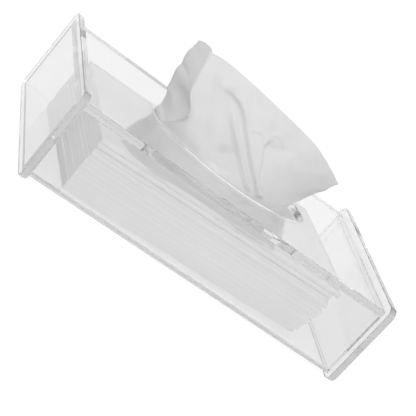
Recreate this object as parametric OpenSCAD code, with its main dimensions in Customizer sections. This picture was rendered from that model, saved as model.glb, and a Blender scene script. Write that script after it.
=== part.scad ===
// Clear acrylic box for folded facial tissues: two end plates with rounded corners carry
// a body of four cemented sheets, and the top sheet has an oval slot for the next tissue.
// Millimetres, +Z up. The origin is the centre of the footprint, on the table.

/* [Case] */
// Outer length, over the end plates
case_l = 250; // [230:1:300]
// Depth of the end plates, front to back
case_w = 150; // [142:1:180]
// Height of the end plates
case_h = 65; // [62:1:90]
// Thickness of the end plates
plate_t = 5; // [3:0.5:8]
// Radius of the end plates' corners
corner_r = 6; // [2:0.5:12]
// Width of the polished bevel round the end plates' edges
bevel = 0.5; // [0.2:0.1:1]

/* [Body] */
// How far the end plates stand proud of the body at the front and back
side_reveal = 5; // [2:0.5:8]
// How far the end plates stand proud of the top panel
top_reveal = 5; // [2:0.5:7]
// Height of the gap under the base panel
foot_h = 3; // [1:0.5:6]
// Thickness of the top panel
top_t = 5; // [3:0.5:6]
// Thickness of the front and back panels
wall_t = 5; // [3:0.5:6]
// Thickness of the base panel
base_t = 2; // [1.5:0.5:4]

/* [Slot] */
// Length of the oval slot, along the box
slot_l = 127; // [110:1:150]
// Width of the oval slot, front to back
slot_w = 72; // [60:1:80]
// Radius of the slot's round ends
slot_end_r = 22; // [12:1:28]

/* [Tissue stack] */
// Room between the stack and each end plate
end_room = 25; // [15:1:40]
// Room between the stack and the front and back panels
side_room = 11; // [5:0.5:20]
// Room between the stack and the top panel, which a fuller box has less of
head_room = 9; // [7:0.5:40]
// Number of fold ridges that show on the stack's front
fold_count = 14; // [6:1:20]
// How far a ridge stands out of line with its neighbours
fold_shift = 0.7; // [0:0.1:1.2]
// How far the ends of the sheets stand out of line
end_shift = 1.6; // [0:0.1:3]
// How deep each bundle of folds beds into the one above it
fold_bed = 0.1; // [0.05:0.05:0.3]

/* [Raised tissue] */
// Height of the raised tissue's highest point above the top panel
raise_h = 56; // [35:1:70]
// Width that the raised tissue fans out to
raise_w = 138; // [110:1:150]
// Thickness of the sheet with its air, two plies
tissue_t = 0.8; // [0.6:0.1:1.2]
// How far the soft folds stand out of the raised sheet
fold_lift = 1.6; // [0:0.1:2.5]
// Half the width of a soft fold
fold_reach = 4.5; // [3:0.5:8]
// How steeply the sheet drops below the slot before it turns out on to the stack
drop = 5; // [3:0.5:7]

/* [Fit] */
// Clearance of the loose sheet from the slot, the top panel and the stack
loose_gap = 0.3; // [0.2:0.1:1]

/* [Hidden] */

$fn = 64;
body_l = case_l - 2 * plate_t;
body_w = case_w - 2 * side_reveal;
top_z = case_h - top_reveal;
under_top_z = top_z - top_t;
floor_z = foot_h + base_t;
stack_l = body_l - 2 * end_room;
stack_w = body_w - 2 * wall_t - 2 * side_room;
stack_h = under_top_z - floor_z - head_room;
stack_top_z = floor_z + stack_h;

// The slot's long sides are arcs that run tangent into its round ends
slot_a = slot_l / 2 - slot_end_r;
slot_b = slot_w / 2;
slot_side_r = (slot_a * slot_a + slot_b * slot_b - slot_end_r * slot_end_r)
              / (2 * (slot_b - slot_end_r));
slot_tangent_x = slot_a * slot_side_r / (slot_side_r - slot_end_r);

// A repeatable wobble between -1 and 1 that keeps neighbouring folds out of line
function wobble(i, row) = sin(i * 137.5 + row * 71) * cos(i * 61 + row * 29);

// Edges and creases of the raised sheet, each point as shares of its half length, of the
// slot's half width and of its height above the top panel
free_edge = [[-0.96, 0.25, 0], [-0.96, 0.31, 0.13], [-0.98, 0.37, 0.32], [-0.99, 0.42, 0.54],
             [-0.99, 0.44, 0.73], [-0.97, 0.44, 0.91]];
turned_crease = [[-0.93, -0.28, 0], [-0.84, -0.56, 0.17], [-0.80, -0.67, 0.30],
                 [-0.89, -0.51, 0.52], [-0.89, -0.28, 0.75], [-0.87, -0.08, 0.96]];
right_edge = [[0.82, 0.03, 0], [0.89, 0.15, 0.14], [0.97, 0.22, 0.30], [1.07, 0.19, 0.56]];
top_edge = [[-0.87, -0.08, 0.96], [-0.62, -0.26, 1], [-0.29, -0.31, 0.98], [0.03, -0.24, 0.91],
            [0.35, -0.13, 0.85], [0.67, 0, 0.76], [0.90, 0.11, 0.64], [1.07, 0.19, 0.56]];
flap_top = [[-0.97, 0.44, 0.91], [-0.94, 0.26, 0.95], [-0.90, 0, 0.98], [-0.87, -0.08, 0.96]];
// Hem on the stack, as shares of the slot's half length and of the stack's half width
hem_line = [[-1.28, -0.78], [-1.17, -0.96], [-0.32, -0.98], [0.32, -0.98], [0.69, -0.93]];
// Soft folds, each from its foot to its head, as shares of half length and height
soft_folds = [[[0.25, 0], [-0.30, 0.55]], [[-0.30, 0.55], [-0.66, 0.72]],
              [[0.34, 0], [0.04, 0.58]]];
// Where the main face's rim starts and ends, in degrees round the front of the slot
rim_start_angle = 14;
rim_end_angle = 152;
// How quickly each edge's own curve dies away across the face: higher is quicker
rim_fade = 4;
crease_fade = 8;
right_fade = 3;
// How much of the sheet's width is the turned-back flap
flap_share = 0.09;
// How much of the way down is the straight lip in the slot, and how far out it turns level
lip_share = 0.25;
turn_share = 0.6;
// Columns and rows of the net of points
flap_cols = 8;
main_cols = 44;
skirt_rows = 8;
rise_rows = 18;
// Columns beside the crease over which the soft folds come in
fold_in_cols = 3;

// Smooth curve through evenly weighted points, t from 0 to 1
function curve(points, t) =
    let (last = len(points) - 1, i = min(floor(t * last), last - 1), f = t * last - i,
         a = points[max(i - 1, 0)], b = points[i], c = points[i + 1],
         d = points[min(i + 2, last)])
    b + f * ((c - a) / 2 + f * (a - 2.5 * b + 2 * c - d / 2 + f * (1.5 * (b - c) + (d - a) / 2)));
function half_length(share) = (slot_l + (raise_w - slot_l) * share) / 2;
function place(p) = [p[0] * half_length(p[2]), p[1] * slot_w / 2, top_z + p[2] * raise_h];

// Half the width of the slot's oval at x, with its outline moved in by inset
function oval_y(x, inset) =
    abs(x) < slot_tangent_x * (slot_side_r - inset) / slot_side_r
        ? sqrt(pow(slot_side_r - inset, 2) - x * x) - (slot_side_r - slot_b)
        : sqrt(max(0, pow(slot_end_r - inset, 2) - pow(abs(x) - slot_a, 2)));
// Foot of the main face, just inside the slot's front wall and drawn in at its two ends
function slot_wall(u) =
    let (inset = loose_gap + tissue_t, turn = rim_start_angle + (rim_end_angle - rim_start_angle) * u,
         x = -(slot_l / 2 - inset) * cos(turn))
    [x, -oval_y(x, inset), top_z];
function rim(u) =
    slot_wall(u) + pow(1 - u, rim_fade) * (place(turned_crease[0]) - slot_wall(0))
                 + pow(u, rim_fade) * (place(right_edge[0]) - slot_wall(1));

// Straight ruling from foot to head, pulled out to the curved left and right edges
function ruled(foot, head, s) = foot + (head - foot) * s;
function main_face(u, s) =
    let (left = place(curve(turned_crease, s)), right = place(curve(right_edge, s)))
    ruled(rim(u), place(curve(top_edge, u)), s)
    + pow(1 - u, crease_fade) * (left - ruled(rim(0), place(top_edge[0]), s))
    + pow(u, right_fade) * (right - ruled(rim(1), place(curve(top_edge, 1)), s));
function flap_face(u, s) =
    let (left = place(curve(free_edge, s)), right = place(curve(turned_crease, s)),
         across = left + (right - left) * u,
         top = place(curve(flap_top, u)), chord = ruled(place(flap_top[0]), place(flap_top[3]), u))
    across + (top - chord) * s * s;

// Distance of a point from a line between two points
function from_line(p, line) =
    let (a = line[0], b = line[1], t = min(1, max(0, (p - a) * (b - a) / ((b - a) * (b - a)))))
    norm(p - a - t * (b - a));
// Forward push of the soft folds at a point of the main face
function on_front(share) = [share[0] * half_length(share[1]), share[1] * raise_h];
function fold_push(p) =
    let (front = [p[0], p[2] - top_z],
         near = min([for (f = soft_folds) from_line(front, [on_front(f[0]), on_front(f[1])])]))
    fold_lift * exp(-pow(near / fold_reach, 2)) * min(1, front[1] / fold_reach);

// Sheet from the rim straight down through the slot, then out under the panel to the hem
hem_z = stack_top_z + loose_gap + tissue_t;
function skirt(top, along, s) =
    let (h = curve(hem_line, along), hem = [h[0] * slot_l / 2, h[1] * stack_w / 2, hem_z],
         lip = top - [0, 0, top_t + loose_gap + tissue_t])
    s < lip_share
        ? top + (lip - top) * s / lip_share
        : let (t = (s - lip_share) / (1 - lip_share), below = lip - [0, 0, drop],
               out = lip + turn_share * (hem - lip), lying = [out[0], out[1], hem_z])
          pow(1 - t, 3) * lip + 3 * pow(1 - t, 2) * t * below + 3 * (1 - t) * t * t * lying
          + pow(t, 3) * hem;

// A column's place along the whole sheet, and its point at a height of the rise
function column_along(i) = i < flap_cols
    ? flap_share * i / flap_cols
    : flap_share + (1 - flap_share) * (i - flap_cols) / main_cols;
function rise_point(i, s) = i < flap_cols
    ? flap_face(i / flap_cols, s)
    : let (p = main_face((i - flap_cols) / main_cols, s),
           inner = min(1, (i - flap_cols) / fold_in_cols))
      p - [0, fold_push(p) * inner, 0];
function sheet_point(i, j) = j < skirt_rows
    ? skirt(rise_point(i, 0), column_along(i), 1 - j / skirt_rows)
    : rise_point(i, (j - skirt_rows) / rise_rows);

module rounded_plate() {
    // Outline across the box, rounded at its four corners
    module outline() {
        for (y = [-1, 1], z = [0, 1])
            translate([y * (case_w / 2 - corner_r), corner_r + z * (case_h - 2 * corner_r)])
                circle(corner_r);
        translate([-case_w / 2, corner_r])
            square([case_w, case_h - 2 * corner_r]);
        translate([-case_w / 2 + corner_r, 0])
            square([case_w - 2 * corner_r, case_h]);
    }
    // Section along one pair of edges, with its polished bevels
    module bevelled(width) {
        polygon([[0, bevel], [bevel, 0], [plate_t - bevel, 0], [plate_t, bevel],
                 [plate_t, width - bevel], [plate_t - bevel, width],
                 [bevel, width], [0, width - bevel]]);
    }
    intersection() {
        rotate([90, 0, 90]) linear_extrude(plate_t) outline();
        translate([0, -case_w / 2, -1]) linear_extrude(case_h + 2) bevelled(case_w);
        translate([0, case_w / 2 + 1, 0]) rotate([90, 0, 0])
            linear_extrude(case_w + 2) bevelled(case_h);
    }
}

module slab(l, w, t) {
    translate([-l / 2, -w / 2, 0]) cube([l, w, t]);
}

module slot_cutter() {
    depth = top_t + 2;
    intersection() {
        translate([0, slot_b - slot_side_r, 0]) cylinder(r = slot_side_r, h = depth, $fn = 180);
        translate([0, slot_side_r - slot_b, 0]) cylinder(r = slot_side_r, h = depth, $fn = 180);
        slab(2 * slot_tangent_x, slot_w + 2, depth);
    }
    for (side = [-1, 1])
        translate([side * slot_a, 0, 0]) cylinder(r = slot_end_r, h = depth);
}

module top_panel() {
    color("lightcyan", 0.4)
        difference() {
            translate([0, 0, under_top_z]) slab(body_l, body_w, top_t);
            translate([0, 0, under_top_z - 1]) slot_cutter();
        }
}

module base_panel() {
    color("lightcyan", 0.4)
        translate([0, 0, foot_h]) slab(body_l, body_w, base_t);
}

module upright_panel() {
    translate([-body_l / 2, 0, floor_z]) cube([body_l, wall_t, under_top_z - floor_z]);
}

module front_panel() {
    color("lightcyan", 0.4) translate([0, -body_w / 2, 0]) upright_panel();
}

module back_panel() {
    color("lightcyan", 0.4) translate([0, body_w / 2 - wall_t, 0]) upright_panel();
}

module left_end_plate() {
    color("lightcyan", 0.4) translate([-case_l / 2, 0, 0]) rounded_plate();
}

module right_end_plate() {
    color("lightcyan", 0.4) translate([case_l / 2 - plate_t, 0, 0]) rounded_plate();
}

module tissue_stack() {
    pitch = (stack_h - fold_bed) / fold_count;
    fold_h = pitch + fold_bed;
    fold_r = fold_h / 2;
    // One pressed bundle of folded sheets, with its round folds at the front and back
    module fold(length, width) {
        rotate([90, 0, 90]) linear_extrude(length) {
            translate([fold_r, 0]) square([width - 2 * fold_r, fold_h]);
            for (y = [fold_r, width - fold_r])
                translate([y, fold_r]) circle(fold_r, $fn = 24);
        }
    }
    color("white")
        for (i = [0 : fold_count - 1]) {
            spread = i / fold_count * end_shift;
            left = -stack_l / 2 - spread + end_shift * wobble(i, 1);
            right = stack_l / 2 + spread + end_shift * wobble(i, 2);
            front = -stack_w / 2 + fold_shift * wobble(i, 3);
            translate([left, front, floor_z + i * pitch]) fold(right - left, stack_w);
        }
}

module raised_tissue() {
    rows = skirt_rows + rise_rows + 1;
    cols = flap_cols + main_cols + 1;
    grid = [for (j = [0 : rows - 1]) [for (i = [0 : cols - 1]) sheet_point(i, j)]];
    // Unit normal of the sheet at a grid point, from its neighbours
    function normal(i, j) =
        let (a = grid[j][min(cols - 1, i + 1)] - grid[j][max(0, i - 1)],
             b = grid[min(rows - 1, j + 1)][i] - grid[max(0, j - 1)][i],
             n = cross(a, b))
        n / norm(n);
    faces_of = [for (side = [1, -1]) for (j = [0 : rows - 1]) for (i = [0 : cols - 1])
        grid[j][i] + side * tissue_t / 2 * normal(i, j)];
    count = rows * cols;
    function at(i, j, side) = side * count + j * cols + i;
    skin = [for (j = [0 : rows - 2]) for (i = [0 : cols - 2]) each [
        [at(i, j, 0), at(i, j + 1, 0), at(i + 1, j + 1, 0)],
        [at(i, j, 0), at(i + 1, j + 1, 0), at(i + 1, j, 0)],
        [at(i, j, 1), at(i + 1, j + 1, 1), at(i, j + 1, 1)],
        [at(i, j, 1), at(i + 1, j, 1), at(i + 1, j + 1, 1)]]];
    side_edges = [for (j = [0 : rows - 2]) each [
        [at(0, j, 0), at(0, j, 1), at(0, j + 1, 1)],
        [at(0, j, 0), at(0, j + 1, 1), at(0, j + 1, 0)],
        [at(cols - 1, j, 0), at(cols - 1, j + 1, 1), at(cols - 1, j, 1)],
        [at(cols - 1, j, 0), at(cols - 1, j + 1, 0), at(cols - 1, j + 1, 1)]]];
    end_edges = [for (i = [0 : cols - 2]) each [
        [at(i, 0, 0), at(i + 1, 0, 1), at(i, 0, 1)],
        [at(i, 0, 0), at(i + 1, 0, 0), at(i + 1, 0, 1)],
        [at(i, rows - 1, 0), at(i, rows - 1, 1), at(i + 1, rows - 1, 1)],
        [at(i, rows - 1, 0), at(i + 1, rows - 1, 1), at(i + 1, rows - 1, 0)]]];
    color("snow") polyhedron(faces_of, concat(skin, side_edges, end_edges), convexity = 8);
}

top_panel();
base_panel();
front_panel();
back_panel();
left_end_plate();
right_end_plate();
tissue_stack();
raised_tissue();
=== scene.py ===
import math

import bmesh
import bpy
import numpy as np
from mathutils import Matrix, Vector


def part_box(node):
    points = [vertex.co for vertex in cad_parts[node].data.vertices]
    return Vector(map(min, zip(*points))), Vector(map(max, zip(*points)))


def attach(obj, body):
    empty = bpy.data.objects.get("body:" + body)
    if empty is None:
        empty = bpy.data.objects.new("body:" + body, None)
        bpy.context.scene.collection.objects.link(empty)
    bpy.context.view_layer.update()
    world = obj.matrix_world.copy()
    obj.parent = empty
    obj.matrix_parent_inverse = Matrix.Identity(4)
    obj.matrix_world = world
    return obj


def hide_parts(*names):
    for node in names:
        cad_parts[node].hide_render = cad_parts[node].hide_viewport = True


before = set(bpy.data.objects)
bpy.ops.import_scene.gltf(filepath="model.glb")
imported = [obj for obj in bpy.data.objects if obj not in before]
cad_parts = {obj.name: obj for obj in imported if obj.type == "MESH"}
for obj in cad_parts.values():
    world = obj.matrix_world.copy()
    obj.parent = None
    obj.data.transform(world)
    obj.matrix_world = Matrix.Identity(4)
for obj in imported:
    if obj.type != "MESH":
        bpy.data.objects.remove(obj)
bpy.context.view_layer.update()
scene = bpy.context.scene
print("frame loaded")


# Helpers for node trees, in materials and in Geometry Nodes

def feed(tree, socket, value):
    # A value may be a number, a vector, a word or another node's socket
    if isinstance(value, bpy.types.NodeSocket):
        tree.links.new(value, socket)
    else:
        socket.default_value = value


def addNode(tree, kind, inputs=None, **settings):
    node = tree.nodes.new(kind)
    for key, value in settings.items():
        setattr(node, key, value)
    for key, value in (inputs or {}).items():
        feed(tree, node.inputs[key], value)
    return node


def calc(tree, operation, *values):
    return addNode(tree, "ShaderNodeMath", dict(enumerate(values)), operation=operation).outputs[0]


def times(tree, first, *others):
    for other in others:
        first = calc(tree, "MULTIPLY", first, other)
    return first


def plus(tree, first, *others):
    for other in others:
        first = calc(tree, "ADD", first, other)
    return first


def combine(tree, x, y, z):
    return addNode(tree, "ShaderNodeCombineXYZ", {"X": x, "Y": y, "Z": z}).outputs[0]


def mixShaders(tree, share, first, second):
    # The first shader where the share is 0, and the second where it is 1
    return addNode(tree, "ShaderNodeMixShader", {"Fac": share, 1: first, 2: second}).outputs[0]


# Materials

def newMaterial(name):
    material = bpy.data.materials.new(name)
    material.use_nodes = True
    material.node_tree.nodes.clear()
    return material, material.node_tree


def objectNoise(tree, scale, detail, roughness=0.5, stretch=(1, 1, 1)):
    place = addNode(tree, "ShaderNodeMapping", {
        "Vector": addNode(tree, "ShaderNodeTexCoord").outputs["Object"],
        "Scale": stretch,
    })
    noise = addNode(tree, "ShaderNodeTexNoise", {
        "Vector": place.outputs["Vector"],
        "Scale": scale,
        "Detail": detail,
        "Roughness": roughness,
    })
    return noise.outputs["Fac"]


acrylicLook = {
    "bodyTint": (0.93, 0.93, 0.93, 1),
    "plateShadeTint": (0.84, 0.84, 0.84, 1),  # painted shade: the end plates are the same acrylic as the body's sheets, tinted greyer than them for the darker surroundings seen through them
    "shadowTint": (0.95, 0.95, 0.95, 1),
    "roughness": 0.0,
    "ior": 1.49,
    "depthColour": (0.5, 0.5, 0.5, 1),  # greys the light that comes out at the edges
    "depthDensity": 5.0,
}


def makeAcrylic(name, tint, look):
    material, tree = newMaterial(name)
    glass = addNode(tree, "ShaderNodeBsdfPrincipled", {
        "Base Color": tint,
        "Roughness": look["roughness"],
        "IOR": look["ior"],
        "Transmission Weight": 1.0,
    })
    passing = addNode(tree, "ShaderNodeBsdfTransparent", {"Color": look["shadowTint"]})
    inShadow = addNode(tree, "ShaderNodeLightPath").outputs["Is Shadow Ray"]
    depth = addNode(tree, "ShaderNodeVolumeAbsorption", {
        "Color": look["depthColour"],
        "Density": look["depthDensity"],
    })
    addNode(tree, "ShaderNodeOutputMaterial", {
        # Shadow rays pass straight through, so that the lamps light what is inside
        "Surface": mixShaders(tree, inShadow, glass.outputs["BSDF"], passing.outputs["BSDF"]),
        "Volume": depth.outputs["Volume"],
    })
    return material


tissueLook = {
    "light": (0.85, 0.85, 0.85, 1),
    "dark": (0.79, 0.79, 0.79, 1),
    "roughness": 0.95,
    "specular": 0.15,
    "sheen": 0.1,
    "mottle": {"scale": 60, "detail": 4},
    "relief": {"scale": 900, "detail": 2, "roughness": 0.6, "stretch": (0.35, 1, 1)},  # fine crepe
    "reliefStrength": 0.12,
    "reliefHeight": 0.0003,
    "throughLight": 0.12,  # share of the light that soaks through two thin plies
}

stackLook = {
    "light": (0.92, 0.92, 0.92, 1),
    "dark": (0.88, 0.88, 0.88, 1),
    "roughness": 0.95,
    "specular": 0.15,
    "sheen": 0.0,
    "mottle": {"scale": 45, "detail": 3},
    "relief": {"scale": 700, "detail": 2, "stretch": (0.012, 0.02, 1)},  # lines of single sheets
    "reliefStrength": 0.035,
    "reliefHeight": 0.0004,
}


def paperShader(tree, look):
    # Soft white paper, a little mottled, with its fine relief as bump
    ramp = addNode(tree, "ShaderNodeValToRGB", {"Fac": objectNoise(tree, **look["mottle"])})
    ramp.color_ramp.elements[0].color = look["dark"]
    ramp.color_ramp.elements[1].color = look["light"]
    bump = addNode(tree, "ShaderNodeBump", {
        "Strength": look["reliefStrength"],
        "Distance": look["reliefHeight"],
        "Height": objectNoise(tree, **look["relief"]),
    })
    paper = addNode(tree, "ShaderNodeBsdfPrincipled", {
        "Base Color": ramp.outputs["Color"],
        "Roughness": look["roughness"],
        "Specular IOR Level": look["specular"],
        "Sheen Weight": look["sheen"],
        "Normal": bump.outputs["Normal"],
    })
    return paper.outputs["BSDF"], ramp.outputs["Color"]


def makeTissue(look):
    material, tree = newMaterial("tissuePaper")
    paper, colour = paperShader(tree, look)
    soaked = addNode(tree, "ShaderNodeBsdfTranslucent", {"Color": colour}).outputs["BSDF"]
    addNode(tree, "ShaderNodeOutputMaterial", {
        "Surface": mixShaders(tree, look["throughLight"], paper, soaked),
    })
    return material


def makeStackPaper(look):
    material, tree = newMaterial("foldedTissue")
    paper, _ = paperShader(tree, look)
    addNode(tree, "ShaderNodeOutputMaterial", {"Surface": paper})
    return material


acrylic = makeAcrylic("clearAcrylic", acrylicLook["bodyTint"], acrylicLook)
# Painted shade: the end plates get a greyer copy of the same acrylic
shadedPlateAcrylic = makeAcrylic("shadedPlateAcrylic", acrylicLook["plateShadeTint"], acrylicLook)
tissue = makeTissue(tissueLook)
stackPaper = makeStackPaper(stackLook)
print("materials made")


# Helpers for the pieces

def plainMesh(maker, name):
    bpy.context.view_layer.update()
    mesh = bpy.data.meshes.new_from_object(
        maker.evaluated_get(bpy.context.evaluated_depsgraph_get())
    )
    mesh.name = name
    return mesh


def standFor(piece, node):
    # The piece is shown in place of the frame's plain solid, on the box's one body
    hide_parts(node)
    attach(piece, "root")


# Clear acrylic sheets, each with polished edges

sheetFit = {
    "polish": 0.00045,  # radius of the polished edges of the end plates and the top panel
    "basePolish": 0.000225,
    "wallPolish": 0.00015,  # of the front and back panels, whose edges are cemented
    "polishSteps": 2,
    "cementGap": 0.00004,  # between two sheets that meet
    "cornerRadius": 0.006,  # of the end plates
    "cornerSteps": 16,
    "sharpAngle": 8,  # degrees; keeps the flat faces truly flat beside their polished edges
    "weld": 1e-6,
    "shortest": 1e-7,  # edges below this are dissolved
}


def addLoop(curve, points):
    spline = curve.splines.new("POLY")
    spline.points.add(len(points) - 1)
    for point, (x, y) in zip(spline.points, points):
        point.co = (x, y, 0, 1)
    spline.use_cyclic_u = True


def cutSheet(name, outlines, low, high, polish, toWorld):
    # Outlines are closed lists of points; the sheet fills from low to high along its own Z
    curve = bpy.data.curves.new(name, "CURVE")
    curve.dimensions = "2D"
    curve.fill_mode = "BOTH"
    for points in outlines:
        addLoop(curve, points)
    curve.extrude = (high - low) / 2 - polish
    curve.bevel_depth = polish
    curve.bevel_resolution = sheetFit["polishSteps"]
    curve.offset = -polish
    maker = bpy.data.objects.new(name + "Maker", curve)
    scene.collection.objects.link(maker)
    mesh = plainMesh(maker, name)
    bpy.data.objects.remove(maker)
    mesh.transform(toWorld @ Matrix.Translation((0, 0, (low + high) / 2)))
    work = bmesh.new()
    work.from_mesh(mesh)
    bmesh.ops.remove_doubles(work, verts=work.verts, dist=sheetFit["weld"])
    bmesh.ops.dissolve_degenerate(work, edges=work.edges, dist=sheetFit["shortest"])
    bmesh.ops.recalc_face_normals(work, faces=work.faces)
    work.to_mesh(mesh)
    work.free()
    mesh.shade_smooth()
    mesh.set_sharp_from_angle(angle=math.radians(sheetFit["sharpAngle"]))
    sheet = bpy.data.objects.new(name, mesh)
    scene.collection.objects.link(sheet)
    return sheet


def finishSheet(sheet, material, node):
    sheet.data.materials.clear()
    sheet.data.materials.append(material)
    standFor(sheet, node)


def arc(centreX, centreY, radius, fromAngle, toAngle, steps):
    turns = (fromAngle + (toAngle - fromAngle) * i / steps for i in range(steps + 1))
    return [
        (centreX + radius * math.cos(a), centreY + radius * math.sin(a))
        for a in map(math.radians, turns)
    ]


def rectangle(x0, y0, x1, y1):
    return [(x0, y0), (x1, y0), (x1, y1), (x0, y1)]


def roundedRectangle(x0, y0, x1, y1, radius, steps):
    corners = (
        (x1 - radius, y1 - radius), (x0 + radius, y1 - radius),
        (x0 + radius, y0 + radius), (x1 - radius, y0 + radius),
    )
    return [
        point
        for quarter, (x, y) in enumerate(corners)
        for point in arc(x, y, radius, 90 * quarter, 90 * (quarter + 1), steps)
    ]


def innerReach(node, margin=0.002):
    # Half the length and width of the hole in a flat node
    low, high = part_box(node)
    inside = [
        v.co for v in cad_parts[node].data.vertices
        if low.x + margin < v.co.x < high.x - margin and low.y + margin < v.co.y < high.y - margin
    ]
    return max(abs(p.x) for p in inside), max(abs(p.y) for p in inside)


def ovalOutline(halfLength, halfWidth, endRadius, steps):
    # Long side arcs run tangent into the round ends
    a = halfLength - endRadius
    sideRadius = (a * a + halfWidth**2 - endRadius**2) / (2 * (halfWidth - endRadius))
    lift = sideRadius - halfWidth
    turn = math.degrees(math.atan2(lift, a))
    return (
        arc(a, 0, endRadius, -turn, turn, steps // 2)[:-1]
        + arc(0, -lift, sideRadius, turn, 180 - turn, steps)[:-1]
        + arc(-a, 0, endRadius, 180 - turn, 180 + turn, steps // 2)[:-1]
        + arc(0, lift, sideRadius, 180 + turn, 360 - turn, steps)[:-1]
    )


slotLook = {"endRadius": 0.022, "steps": 72}
slotHalfLength, slotHalfWidth = innerReach("top_panel")
ovalPoints = ovalOutline(
    slotHalfLength, slotHalfWidth, slotLook["endRadius"], slotLook["steps"]
)

lyingFlat = Matrix.Identity(4)
acrossX = Matrix(((0, 0, 1, 0), (1, 0, 0, 0), (0, 1, 0, 0), (0, 0, 0, 1)))  # sheet lies in YZ
acrossY = Matrix(((1, 0, 0, 0), (0, 0, -1, 0), (0, 1, 0, 0), (0, 0, 0, 1)))  # sheet lies in XZ


def makeEndPlate(side):
    node = side + "_end_plate"
    low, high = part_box(node)
    outline = roundedRectangle(
        low.y, low.z, high.y, high.z, sheetFit["cornerRadius"], sheetFit["cornerSteps"]
    )
    plate = cutSheet(side + "EndPlate", [outline], low.x, high.x, sheetFit["polish"], acrossX)
    finishSheet(plate, shadedPlateAcrylic, node)


def makeTopPanel(gap):
    low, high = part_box("top_panel")
    outline = rectangle(low.x + gap, low.y, high.x - gap, high.y)
    panel = cutSheet(
        "topPanel", [outline, ovalPoints], low.z + gap, high.z, sheetFit["polish"], lyingFlat
    )
    finishSheet(panel, acrylic, "top_panel")


def makeBasePanel(gap):
    low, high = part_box("base_panel")
    outline = rectangle(low.x + gap, low.y, high.x - gap, high.y)
    panel = cutSheet(
        "basePanel", [outline], low.z, high.z - gap, sheetFit["basePolish"], lyingFlat
    )
    finishSheet(panel, acrylic, "base_panel")


def makeWall(side, gap):
    node = side + "_panel"
    low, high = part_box(node)
    outline = rectangle(low.x + gap, low.z, high.x - gap, high.z)
    panel = cutSheet(
        side + "Panel", [outline], -high.y, -low.y, sheetFit["wallPolish"], acrossY
    )
    finishSheet(panel, acrylic, node)


for side in ("left", "right"):
    makeEndPlate(side)
makeTopPanel(sheetFit["cementGap"])
makeBasePanel(sheetFit["cementGap"])
for side in ("front", "back"):
    makeWall(side, sheetFit["cementGap"])
print("acrylic sheets cut")


# Stack of folded tissues: bundles of folds, each a little out of line with the next

stackShape = {
    "bundles": 12,
    "steps": (64, 18, 6),  # vertices along, across and up each bundle
    "ridge": 0.00042,  # depth of the groove between two bundles, at the top of the stack
    "ridgePower": 4,  # higher makes the groove narrower
    "edgePower": 12,  # higher keeps what happens at an edge nearer to it
    "tight": 0.1,  # share of their play that the lowest bundles keep under the others' weight
    "loosePower": 1.5,  # how the play grows from there to the top
    "foldShift": 0.0005,  # bundles out of line at the front
    "foldWaves": (22, 0.45),  # of that line, along the box and from bundle to bundle
    "foldPlace": 3.1,  # where in the noise it is read, as are the places below
    "endShift": 0.0024,  # bundles out of line at the cut ends
    "evenEnd": 0.58,  # 1 treats both ends alike, and less keeps the left end more even
    "endStreak": 0.0015,  # upright streaks on the cut ends
    "streakWaves": (55, 70),  # across the end and up it
    "streakDetail": 2,
    "rightItem": 100,  # keeps the random shifts of the two ends apart
    "spread": 0.0045,  # the top bundles are pressed out longer
    "recess": 0.0008,  # the lowest bundles draw in at the front
    "recessPower": 6,
    "recessMean": 0.75,
    "recessWaves": 30,
    "recessPlace": (5.3, 1.7),
    "recessDetail": 2,
    "sway": 0.0012,  # gentle waves of the whole stack's top
    "swayWaves": (16, 12),
    "swayPlace": 0.4,
    "swayDetail": 2,
    "settle": 0.0008,
    "sharpAngle": 70,
    "turn": 4.0,  # degrees that the loose stack lies askew
    "slide": (-0.005, 0.0005),  # how far it lies from the middle, along and across the box
    "seed": 7,
}


def addInput(tree, name, kind):
    socketType = "NodeSocket" + kind
    return tree.interface.new_socket(name, in_out="INPUT", socket_type=socketType).identifier


def wave(tree, x, y, z, detail=1.0):
    # Smooth noise from about -0.5 to 0.5
    noise = addNode(tree, "ShaderNodeTexNoise", {
        "Vector": combine(tree, x, y, z), "Scale": 1, "Detail": detail,
    })
    return calc(tree, "SUBTRACT", noise.outputs[0], 0.5)


def randomFor(tree, item, seed):
    # From -1 to 1, the same each time for one item
    node = addNode(tree, "FunctionNodeRandomValue", {"ID": item, "Seed": seed}, data_type="FLOAT")
    low, high = [i for i in node.inputs if i.type == "VALUE"][:2]
    low.default_value = -1
    high.default_value = 1
    return [o for o in node.outputs if o.type == "VALUE"][0]


def stackedBars(tree, given, pitch, steps):
    # One bar for each bundle, one on the other, each with its own number
    line = addNode(tree, "GeometryNodeMeshLine", {
        "Count": given["Bundles"],
        "Start Location": combine(tree, 0, 0, calc(tree, "DIVIDE", pitch, 2)),
        "Offset": combine(tree, 0, 0, pitch),
    }, mode="OFFSET")
    bar = addNode(tree, "GeometryNodeMeshCube", {
        "Size": combine(tree, given["Length"], given["Width"], pitch),
        "Vertices X": steps[0],
        "Vertices Y": steps[1],
        "Vertices Z": steps[2],
    })
    bars = addNode(tree, "GeometryNodeInstanceOnPoints", {
        "Points": line.outputs["Mesh"], "Instance": bar.outputs["Mesh"],
    })
    numbered = addNode(tree, "GeometryNodeStoreNamedAttribute", {
        "Geometry": bars.outputs["Instances"],
        "Name": "bundle",
        "Value": addNode(tree, "GeometryNodeInputIndex").outputs[0],
    }, data_type="INT", domain="INSTANCE")
    solid = addNode(tree, "GeometryNodeRealizeInstances", {
        "Geometry": numbered.outputs["Geometry"],
    })
    return solid.outputs["Geometry"]


def nearEdge(tree, place, half, power):
    # 1 at the edge, and soon 0 inside it
    share = calc(tree, "DIVIDE", calc(tree, "ABSOLUTE", place), half)
    return calc(tree, "POWER", share, power)


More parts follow.
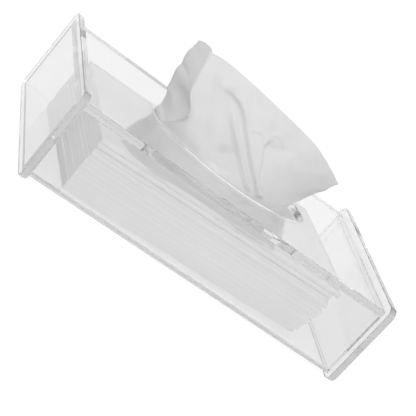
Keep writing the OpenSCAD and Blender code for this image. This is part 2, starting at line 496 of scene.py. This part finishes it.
def stackTree(shape):
    tree = bpy.data.node_groups.new("foldedStack", "GeometryNodeTree")
    tree.interface.new_socket("Geometry", in_out="OUTPUT", socket_type="NodeSocketGeometry")
    kinds = {
        "Bundles": "Int", "Length": "Float", "Width": "Float", "Height": "Float",
        "Ridge": "Float", "Fold Shift": "Float", "End Shift": "Float", "Seed": "Int",
        "Paper": "Material",
    }
    ids = {name: addInput(tree, name, kind) for name, kind in kinds.items()}
    given = addNode(tree, "NodeGroupInput").outputs
    pitch = calc(tree, "DIVIDE", given["Height"], given["Bundles"])
    bars = stackedBars(tree, given, pitch, shape["steps"])

    bundle = addNode(
        tree, "GeometryNodeInputNamedAttribute", {"Name": "bundle"}, data_type="INT"
    ).outputs["Attribute"]
    position = addNode(tree, "GeometryNodeInputPosition").outputs[0]
    x, y, z = addNode(tree, "ShaderNodeSeparateXYZ", {0: position}).outputs
    middle = times(tree, plus(tree, bundle, 0.5), pitch)
    fromMiddle = calc(tree, "SUBTRACT", z, middle)
    rise = calc(tree, "DIVIDE", fromMiddle, calc(tree, "DIVIDE", pitch, 2))
    pinch = calc(tree, "POWER", calc(tree, "ABSOLUTE", rise), shape["ridgePower"])
    sideX = calc(tree, "SIGN", x)
    sideY = calc(tree, "SIGN", y)
    edgeX = nearEdge(tree, x, calc(tree, "DIVIDE", given["Length"], 2), shape["edgePower"])
    edgeY = nearEdge(tree, y, calc(tree, "DIVIDE", given["Width"], 2), shape["edgePower"])
    height = calc(tree, "DIVIDE", z, given["Height"])
    low = calc(tree, "POWER", calc(tree, "SUBTRACT", 1, height), shape["recessPower"])
    play = calc(tree, "POWER", height, shape["loosePower"])
    loose = plus(tree, times(tree, play, 1 - shape["tight"]), shape["tight"])

    # Across the box
    alongWaves, bundleWaves = shape["foldWaves"]
    ripple = wave(
        tree, times(tree, x, alongWaves), times(tree, bundle, bundleWaves), shape["foldPlace"]
    )
    shift = plus(tree, randomFor(tree, bundle, given["Seed"]), ripple)
    shift = times(tree, shift, given["Fold Shift"], loose)
    recessAt = times(tree, x, shape["recessWaves"])
    draw = wave(tree, recessAt, *shape["recessPlace"], shape["recessDetail"])
    draw = times(tree, low, shape["recess"], plus(tree, shape["recessMean"], draw))
    groove = times(tree, pinch, given["Ridge"], loose)
    inset = times(tree, plus(tree, groove, draw), edgeY, sideY)
    moveY = calc(tree, "SUBTRACT", shift, inset)

    # Along the box, at the cut ends
    endItem = plus(tree, bundle, times(tree, sideX, shape["rightItem"]))
    sideShare = plus(tree, times(tree, sideX, 1 - shape["evenEnd"]), shape["evenEnd"])
    ends = times(tree, randomFor(tree, endItem, given["Seed"]), given["End Shift"])
    ends = plus(tree, ends, times(tree, height, shape["spread"]))
    ends = calc(tree, "SUBTRACT", ends, times(tree, pinch, given["Ridge"]))
    acrossWaves, upWaves = shape["streakWaves"]
    streak = wave(
        tree, times(tree, y, acrossWaves), times(tree, z, upWaves), sideX, shape["streakDetail"]
    )
    ends = plus(tree, times(tree, ends, sideShare), times(tree, streak, shape["endStreak"]))
    moveX = times(tree, ends, edgeX, sideX)

    # Up and down, together with the neighbours
    alongSway, acrossSway = shape["swayWaves"]
    sway = wave(
        tree, times(tree, x, alongSway), times(tree, y, acrossSway), shape["swayPlace"],
        shape["swayDetail"],
    )
    sway = calc(tree, "SUBTRACT", times(tree, sway, shape["sway"]), shape["settle"])
    moveZ = times(tree, sway, height)

    bent = addNode(tree, "GeometryNodeSetPosition", {
        "Geometry": bars, "Offset": combine(tree, moveX, moveY, moveZ),
    })
    covered = addNode(tree, "GeometryNodeSetMaterial", {
        "Geometry": bent.outputs["Geometry"], "Material": given["Paper"],
    })
    addNode(tree, "NodeGroupOutput", {0: covered.outputs["Geometry"]})
    return tree, ids


def nodesToPiece(name, tree, ids, values):
    piece = bpy.data.objects.new(name, bpy.data.meshes.new(name))
    modifier = piece.modifiers.new("nodes", "NODES")
    modifier.node_group = tree
    for key, value in values.items():
        modifier[ids[key]] = value
    scene.collection.objects.link(piece)
    mesh = plainMesh(piece, name)
    piece.modifiers.remove(modifier)
    piece.data = mesh
    return piece


def foldStack(shape):
    low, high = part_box("tissue_stack")
    tree, ids = stackTree(shape)
    stack = nodesToPiece("tissueStack", tree, ids, {
        "Bundles": shape["bundles"],
        "Length": high.x - low.x - 2 * shape["endShift"],
        "Width": high.y - low.y - 2 * shape["foldShift"],
        "Height": high.z - low.z,
        "Ridge": shape["ridge"],
        "Fold Shift": shape["foldShift"],
        "End Shift": shape["endShift"],
        "Seed": shape["seed"],
        "Paper": stackPaper,
    })
    askew = Matrix.Rotation(math.radians(shape["turn"]), 4, "Z")
    stack.data.transform(Matrix.Translation((*shape["slide"], low.z)) @ askew)
    stack.data.shade_smooth()
    stack.data.set_sharp_from_angle(angle=math.radians(shape["sharpAngle"]))
    standFor(stack, "tissue_stack")
    return stack


stack = foldStack(stackShape)
print("tissue stack folded:", len(stack.data.polygons), "faces")


# Raised tissue: one sheet that lies on the stack in front of the slot, passes up through it
# and stands open like a fan, with its left edge turned back as a flap. Its sizes and points
# are millimetres.

perMetre = 1000

raisedShape = {
    "rimFrom": 14,  # degrees round the slot's front, 0 at its left end
    "rimTo": 152,
    "rimGap": 1.6,  # sheet to the slot's wall
    "rimHeight": 60,
    "rimSteps": 200,
    "freeEdge": [
        (-61, 9, 60), (-60.8, 12.8, 66.9), (-62.2, 17.7, 76.6), (-63.4, 21.2, 88),
        (-64.2, 22.2, 99), (-64.2, 21.3, 109.3),
    ],
    "crease": [
        (-59, -10, 60), (-54, -20, 69.5), (-52, -24, 77), (-59, -18.5, 89),
        (-59.8, -10, 102), (-59.4, -3, 113.2),
    ],
    "rightEdge": [(47.5, -5.5, 60), (56, 3.5, 67.3), (64, 8, 76.6), (71, 7, 91.3)],
    "topEdge": [
        (-59.4, -3, 113.2), (-52, -7, 115), (-33.5, -11, 114.8), (-10, -10, 112.3),
        (9.5, -7, 109.6), (37, -2, 104.7), (57.5, 3, 97.3), (71, 7, 91.3),
    ],
    "flapTop": [
        (-64.2, 21.3, 109.3), (-63.1, 15, 111.7), (-61.6, 7.2, 113.4),
        (-60.6, 1.4, 114), (-60.4, -1.5, 113.9), (-59.4, -3, 113.2),
    ],
    "flapShare": 0.09,  # of the hem's length
    "creaseReach": (4, 16),  # at the foot and above; higher keeps the crease's curve nearer to it
    "reachRise": 0.45,  # share of the height over which the first becomes the second
    "rightReach": 3,
    "rimReach": 4,
    "bulge": 2.0,
    "hem": [
        (-81, -42, 44.5), (-74, -52, 44.5), (-20, -52.5, 44.5), (20, -52.5, 44.5),
        (40, -50, 44.5),
    ],
    "clearance": 0.35,  # middle of the sheet to the stack that it lies on
    "lip": 6.2,  # straight down through the slot, to just under the panel
    "lipRows": 8,
    "drop": 5,
    "turnOut": 0.6,
    "flapColumns": 26,
    "mainColumns": 176,
    "skirtRows": 30,
    "riseRows": 100,
    "sharpShare": 0.65,  # of the crease's height, down from its top
    "mainDepth": 1.35,  # of all the main face's folds together
    "mainFade": 12,  # columns from the crease over which its folds come in
    "flapFade": 6,
    "wrinkleDepth": 2.0,
    "wrinkleRise": 0.5,  # how the wrinkles grow with the height
    "rimCalm": 0.06,  # share of the height that is flat where it meets the rim
    "topCalm": 0.75,  # share of the lift that is taken away at the top edge
    "topCalmFrom": 0.8,
    "thickness": 0.3,
}

# Folds pressed into the sheet, as paths of (x, z) seen from the front: a ridge stands up on
# both sides, and a step stands up on the left of its path and drops on the right. Ends are
# the shares of the path over which the fold comes and goes.
mainFolds = [
    {"kind": "step", "height": 3.0, "width": 2.0, "reach": 14, "ends": (0.25, 0.0), "path": [
        (-48.9, 99.9), (-41.3, 101.7), (-33, 101.3), (-25, 97.5), (-18.8, 91.9), (-3.1, 77.2),
        (11, 65.6), (17, 60.4),
    ]},
    {"kind": "ridge", "height": 1.9, "width": 1.8, "ends": (0.2, 0.0), "path": [
        (-32.2, 96.7), (-24.3, 88.5), (-10.3, 76.7), (8.8, 60.9),
    ]},
    {"kind": "step", "height": 1.0, "width": 1.6, "reach": 6, "ends": (0.2, 0.2), "path": [
        (-15.5, 89.9), (-11.9, 91.7), (-7.7, 92.8), (1.5, 87.5),
    ]},
    {"kind": "step", "height": -2.4, "width": 1.7, "reach": 8, "ends": (0.15, 0.0), "path": [
        (0.1, 94.5), (1.5, 87.5), (3.3, 83.7), (6.2, 78), (8.7, 72.4), (17.1, 64.9),
        (22.6, 60.8),
    ]},
    {"kind": "ridge", "height": 0.7, "width": 1.2, "ends": (0.2, 0.2), "path": [
        (0.1, 94.5), (2.8, 97.2), (10.6, 96.6), (15.3, 93),
    ]},
    {"kind": "ridge", "height": -2.2, "width": 6, "ends": (0.15, 0.4), "path": [
        (-15, 60), (-18, 68), (-23, 77),
    ]},
    {"kind": "ridge", "height": 1.5, "width": 5, "ends": (0.3, 0.3), "path": [
        (-50.4, 100.3), (-45.2, 103.1), (-38.4, 108.6), (-33.8, 114.3),
    ]},
    {"kind": "ridge", "height": -1.3, "width": 6, "ends": (0.4, 0.4), "path": [
        (11.9, 104.7), (16, 97), (22.6, 89.1),
    ]},
]
flapFolds = [
    {"kind": "ridge", "height": -1.5, "width": 2.2, "ends": (0.2, 0.3), "path": [
        (-60.5, 61), (-60.6, 68), (-62, 74),
    ]},
    {"kind": "ridge", "height": 0.8, "width": 2.0, "ends": (0.3, 0.3), "path": [
        (-57, 66), (-60, 80), (-63, 92),
    ]},
    {"kind": "ridge", "height": -0.7, "width": 1.8, "ends": (0.3, 0.3), "path": [
        (-66, 88), (-63, 91), (-60.5, 92),
    ]},
]
foldMaking = {
    "samples": 90,  # points along a path
    "softness": 0.3,  # of a step, as a share of its width
    "steepest": 30,
    "end": 3,  # a step's lift dies away past this many reaches
}

# Faint, wide unevenness of a handled sheet: waves along x and z, each bent by a slower one
wrinkleWaves = [
    {"height": 0.16, "along": (0.31, 0.22), "phase": 0, "bend": 1.3, "bendAlong": (0, 0.09)},
    {"height": 0.12, "along": (0.13, -0.42), "phase": 2.0, "bend": 1.1, "bendAlong": (0.11, 0)},
    {"height": 0.09, "along": (0.62, 0.35), "phase": 0.7, "bend": 0, "bendAlong": (0, 0)},
]


def smooth(t):
    t = np.clip(t, 0, 1)
    return t * t * (3 - 2 * t)


def through(points, t):
    # Smooth curve through points, at values of t from 0 to 1 along it
    points = np.array(points, float)
    steps = np.linalg.norm(np.diff(points, axis=0), axis=1)
    knots = np.concatenate([[0], np.cumsum(steps)]) / steps.sum()
    slopes = np.gradient(points, knots, axis=0)
    t = np.clip(np.asarray(t, float), 0, 1)
    i = np.clip(np.searchsorted(knots, t, side="right") - 1, 0, len(knots) - 2)
    span = (knots[i + 1] - knots[i])[..., None]
    f = (t - knots[i])[..., None] / span
    return (
        (2 * f**3 - 3 * f**2 + 1) * points[i] + (f**3 - 2 * f**2 + f) * span * slopes[i]
        + (-2 * f**3 + 3 * f**2) * points[i + 1] + (f**3 - f**2) * span * slopes[i + 1]
    )


def slotRim(shape, turn):
    # Points just inside the slot's wall, by angle from its left end round the front
    sizes = (slotHalfLength, slotHalfWidth, slotLook["endRadius"])
    inner = [size * perMetre - shape["rimGap"] for size in sizes]
    outline = np.array(ovalOutline(*inner, shape["rimSteps"]))
    angle = np.degrees(np.arctan2(-outline[:, 1], -outline[:, 0])) % 360
    order = np.argsort(angle)
    x = np.interp(turn, angle[order], outline[order, 0], period=360)
    y = np.interp(turn, angle[order], outline[order, 1], period=360)
    return np.stack([x, y, np.full_like(x, shape["rimHeight"])], axis=-1)


def ruled(bottom, top, left, right, leftReach, rightReach):
    # Straight rulings from bottom to top, pulled out to the curved left and right edges
    s = np.linspace(0, 1, len(left))[:, None, None]
    u = np.linspace(0, 1, len(bottom))[None, :, None]
    net = (1 - s) * bottom[None] + s * top[None]
    net = net + (left[:, None] - net[:, :1]) * (1 - u) ** leftReach
    return net + (right[:, None] - net[:, -1:]) * u**rightReach


def mainNet(shape, s, crease):
    # The main face, from the crease to the right edge
    u = np.linspace(0, 1, shape["mainColumns"] + 1)
    right = through(shape["rightEdge"], s)
    rim = slotRim(shape, shape["rimFrom"] + (shape["rimTo"] - shape["rimFrom"]) * u)
    atLeft = ((1 - u) ** shape["rimReach"])[:, None] * (crease[0] - rim[0])
    atRight = (u ** shape["rimReach"])[:, None] * (right[0] - rim[-1])
    top = through(shape["topEdge"], u)
    footReach, upperReach = shape["creaseReach"]
    leftReach = footReach + (upperReach - footReach) * smooth(s / shape["reachRise"])
    net = ruled(
        rim + atLeft + atRight, top, crease, right, leftReach[:, None, None],
        shape["rightReach"],
    )
    net[..., 1] -= shape["bulge"] * np.sin(np.pi * s)[:, None] * np.sin(np.pi * u)[None]
    return net


def flapNet(shape, s, crease):
    # The flap, from its free edge to the crease
    u = np.linspace(0, 1, shape["flapColumns"] + 1)[:, None]
    free = through(shape["freeEdge"], s)
    net = free[:, None] + u[None] * (crease - free)[:, None]
    top = through(shape["flapTop"], u[:, 0])
    chord = top[0] + u * (top[-1] - top[0])
    return net + (top - chord)[None] * (s**2)[:, None, None]


def riseNet(shape):
    # From the slot's rim to the top edge: the flap's columns, then the main face's
    s = np.linspace(0, 1, shape["riseRows"] + 1)
    crease = through(shape["crease"], s)
    return np.concatenate([flapNet(shape, s, crease)[:, :-1], mainNet(shape, s, crease)], axis=1)


def skirtNet(shape, rim):
    # From the hem on the stack, out under the top panel, and straight up through the slot
    split = shape["flapColumns"] / (len(rim) - 1)
    u = np.linspace(0, 1, len(rim))
    share = shape["flapShare"]
    onMain = share + (1 - share) * (u - split) / (1 - split)
    hem = through(shape["hem"], np.where(u < split, share * u / split, onMain))
    lip = rim - np.array([0, 0, shape["lip"]])
    down = lip - np.array([0, 0, shape["drop"]])
    out = lip + shape["turnOut"] * (hem - lip)
    out[:, 2] = hem[:, 2]
    t = np.linspace(1, 0, shape["skirtRows"] + 1)[:, None, None]
    under = (
        (1 - t) ** 3 * lip + 3 * (1 - t) ** 2 * t * down + 3 * (1 - t) * t**2 * out + t**3 * hem
    )
    s = np.linspace(0, 1, shape["lipRows"] + 1)[1:, None, None]
    return np.concatenate([under, lip + s * (rim - lip)], axis=0)


def layOn(net, support, shape):
    # Lifts points that are lower than the top of the support, so that the sheet lies on it
    bpy.context.view_layer.update()
    above = shape["rimHeight"] / perMetre
    for point in net.reshape(-1, 3):
        origin = (point[0] / perMetre, point[1] / perMetre, above)
        met, place, _, _ = support.ray_cast(origin, (0, 0, -1))
        if met:
            point[2] = max(point[2], place.z * perMetre + shape["clearance"])
    return net


def unitNormals(net):
    normal = np.cross(np.gradient(net, axis=1), np.gradient(net, axis=0))
    return normal / np.linalg.norm(normal, axis=-1, keepdims=True)


def oneFold(fold, x, z):
    # How far one fold lifts each point of the sheet along its normal
    t = np.linspace(0, 1, foldMaking["samples"])
    path = through(fold["path"], t)
    tangent = np.gradient(path, axis=0)
    tangent /= np.linalg.norm(tangent, axis=1, keepdims=True)
    apart = np.stack([x, z], axis=-1)[..., None, :] - path
    distance = np.linalg.norm(apart, axis=-1)
    nearest = distance.argmin(axis=-1)
    d = np.take_along_axis(distance, nearest[..., None], -1)[..., 0]
    ahead = np.take_along_axis(apart, nearest[..., None, None], -2)[..., 0, :]
    heading = tangent[nearest]
    side = np.sign(heading[..., 1] * ahead[..., 0] - heading[..., 0] * ahead[..., 1])
    at = t[nearest]
    lift = np.full_like(at, fold["height"])
    first, last = fold["ends"]
    if first:
        lift *= smooth(at / first)
    if last:
        lift *= smooth((1 - at) / last)
    if fold["kind"] == "ridge":
        return lift * np.exp(-((d / fold["width"]) ** 2))
    limit = foldMaking["steepest"]
    slope = np.clip(d * side / (foldMaking["softness"] * fold["width"]), -limit, limit)
    lift *= np.exp(-np.maximum(0, -d * side) / fold["reach"]) / (1 + np.exp(slope))
    return lift * np.exp(-np.maximum(0, d - foldMaking["end"] * fold["reach"]))


def softWrinkles(x, z):
    total = 0
    for wrinkle in wrinkleWaves:
        alongX, alongZ = wrinkle["along"]
        bendX, bendZ = wrinkle["bendAlong"]
        bend = wrinkle["bend"] * np.sin(bendX * x + bendZ * z)
        angle = alongX * x + alongZ * z + wrinkle["phase"] + bend
        total = total + wrinkle["height"] * np.sin(angle)
    return total


def sheetLift(net, shape):
    # The flap's folds and the main face's both fade out at the crease between them
    x, z = net[..., 0], net[..., 2]
    fromCrease = (np.arange(net.shape[1]) - shape["flapColumns"])[None]
    onMain = np.clip(fromCrease / shape["mainFade"], 0, 1)
    onFlap = np.clip(-fromCrease / shape["flapFade"], 0, 1)
    climb = np.linspace(0, 1, net.shape[0])[:, None]
    lift = (
        shape["mainDepth"] * sum(oneFold(fold, x, z) for fold in mainFolds) * onMain
        + sum(oneFold(fold, x, z) for fold in flapFolds) * onFlap
        + shape["wrinkleDepth"] * softWrinkles(x, z) * climb ** shape["wrinkleRise"]
    )
    lift *= np.clip(climb / shape["rimCalm"], 0, 1)
    atTop = (climb - shape["topCalmFrom"]) / (1 - shape["topCalmFrom"])
    return lift * (1 - shape["topCalm"] * smooth(atTop))


def netToMesh(name, net):
    rows, columns = net.shape[:2]
    mesh = bpy.data.meshes.new(name)
    index = np.arange(rows * columns).reshape(rows, columns)
    corners = [index[:-1, :-1], index[:-1, 1:], index[1:, 1:], index[1:, :-1]]
    quads = np.stack(corners, axis=-1).reshape(-1, 4)
    mesh.from_pydata((net.reshape(-1, 3) / perMetre).tolist(), [], quads.tolist())
    return mesh


def sharpCrease(mesh, columns, column, firstRow):
    # The turned edge is a pressed fold, so its two faces meet at a sharp line
    sharp = mesh.attributes.new("sharp_edge", "BOOLEAN", "EDGE")
    for edge in mesh.edges:
        rows, places = zip(*(divmod(v, columns) for v in edge.vertices))
        sharp.data[edge.index].value = set(places) == {column} and min(rows) >= firstRow


def raiseTissue(shape, support, material):
    rise = riseNet(shape)
    rise = rise + unitNormals(rise) * sheetLift(rise, shape)[..., None]
    skirt = layOn(skirtNet(shape, rise[0]), support, shape)
    net = np.concatenate([skirt[:-1], rise], axis=0)
    mesh = netToMesh("raisedTissue", net)
    mesh.shade_smooth()
    rows, columns = net.shape[:2]
    sharpRows = round(shape["sharpShare"] * shape["riseRows"])
    sharpCrease(mesh, columns, shape["flapColumns"], rows - sharpRows)
    mesh.materials.append(material)
    raised = bpy.data.objects.new("raisedTissue", mesh)
    scene.collection.objects.link(raised)
    return raised


raised = raiseTissue(raisedShape, stack, tissue)
plies = raised.modifiers.new("plies", "SOLIDIFY")
plies.thickness = raisedShape["thickness"] / perMetre
plies.offset = 0
standFor(raised, "raised_tissue")


# Camera, at the photograph's viewing angle

cameraPlace = {
    "position": (-0.3093, -0.7672, 0.2737),
    "aim": (0.3670, 0.8856, -0.2847),
    "up": (-0.5304, 0.4506, 0.7180),
    "focal": 113.0,
    "sensor": 36,
}


def placeCamera(values):
    data = bpy.data.cameras.new("camera")
    data.lens = values["focal"]
    data.sensor_width = values["sensor"]
    camera = bpy.data.objects.new("camera", data)
    scene.collection.objects.link(camera)
    back = -Vector(values["aim"]).normalized()
    right = Vector(values["up"]).cross(back).normalized()
    up = back.cross(right)
    turn = Matrix((right, up, back)).transposed().to_4x4()
    camera.matrix_world = Matrix.Translation(values["position"]) @ turn
    scene.camera = camera


placeCamera(cameraPlace)
scene.view_settings.view_transform = "Standard"

# Light crosses many faces inside the clear sheets before it reaches their edges
bounceLimits = {
    "max_bounces": 64,
    "transmission_bounces": 64,
    "glossy_bounces": 48,
    "transparent_max_bounces": 32,
}
for name, limit in bounceLimits.items():
    setattr(scene.cycles, name, limit)
print("camera placed")


# White studio

studio = {
    "white": (1, 1, 1, 1),
    "world": 0.74,
    "backdrop": 1.0,
    "floorSize": 6.0,
    "floorDrop": 0.0002,  # below the end plates' feet
    "floorColour": (0.88, 0.88, 0.88, 1),
    "floorGlow": 1.15,
    "glowShare": 0.75,  # the rest is lit paint, which keeps the object's shadow
}


def sightRay(tree):
    # 1 for what the camera, gloss and glass see directly, and 0 for the light itself
    path = addNode(tree, "ShaderNodeLightPath").outputs
    seen = path["Is Camera Ray"]
    for name in ("Is Glossy Ray", "Is Transmission Ray"):
        seen = calc(tree, "MAXIMUM", seen, path[name])
    return seen


def makeWorld(values):
    world = bpy.data.worlds.new("studioWorld")
    scene.world = world
    world.use_nodes = True
    tree = world.node_tree
    tree.nodes.clear()
    light, seen = (
        addNode(tree, "ShaderNodeBackground", {"Color": values["white"], "Strength": values[key]})
        for key in ("world", "backdrop")
    )
    addNode(tree, "ShaderNodeOutputWorld", {
        "Surface": mixShaders(tree, sightRay(tree), light.outputs[0], seen.outputs[0]),
    })


def makeFloor(values):
    half = values["floorSize"] / 2
    mesh = bpy.data.meshes.new("floor")
    corners = [(x, y, 0) for x, y in rectangle(-half, -half, half, half)]
    mesh.from_pydata(corners, [], [(0, 1, 2, 3)])
    floor = bpy.data.objects.new("floor", mesh)
    scene.collection.objects.link(floor)
    floor.location.z = -values["floorDrop"]
    material, tree = newMaterial("floorWhite")
    paint = addNode(tree, "ShaderNodeBsdfDiffuse", {"Color": values["floorColour"]})
    glow = addNode(tree, "ShaderNodeEmission", {"Strength": values["floorGlow"]})
    share = times(tree, sightRay(tree), values["glowShare"])
    addNode(tree, "ShaderNodeOutputMaterial", {
        "Surface": mixShaders(tree, share, paint.outputs["BSDF"], glow.outputs["Emission"]),
    })
    mesh.materials.append(material)


lampValues = {
    "key": {"at": (-0.85, -1.5, 1.4), "size": 1.4, "power": 13},
    "fill": {"at": (1.3, -1.2, 0.9), "size": 1.4, "power": 2.5},
}


def addLamp(name, values):
    data = bpy.data.lights.new(name, "AREA")
    data.size = values["size"]
    data.energy = values["power"]
    lamp = bpy.data.objects.new(name, data)
    lamp.location = values["at"]
    lamp.rotation_euler = (-Vector(values["at"])).to_track_quat("-Z", "Y").to_euler()
    scene.collection.objects.link(lamp)


makeWorld(studio)
makeFloor(studio)
for lampName, values in lampValues.items():
    addLamp(lampName + "Lamp", values)
print("studio lit")
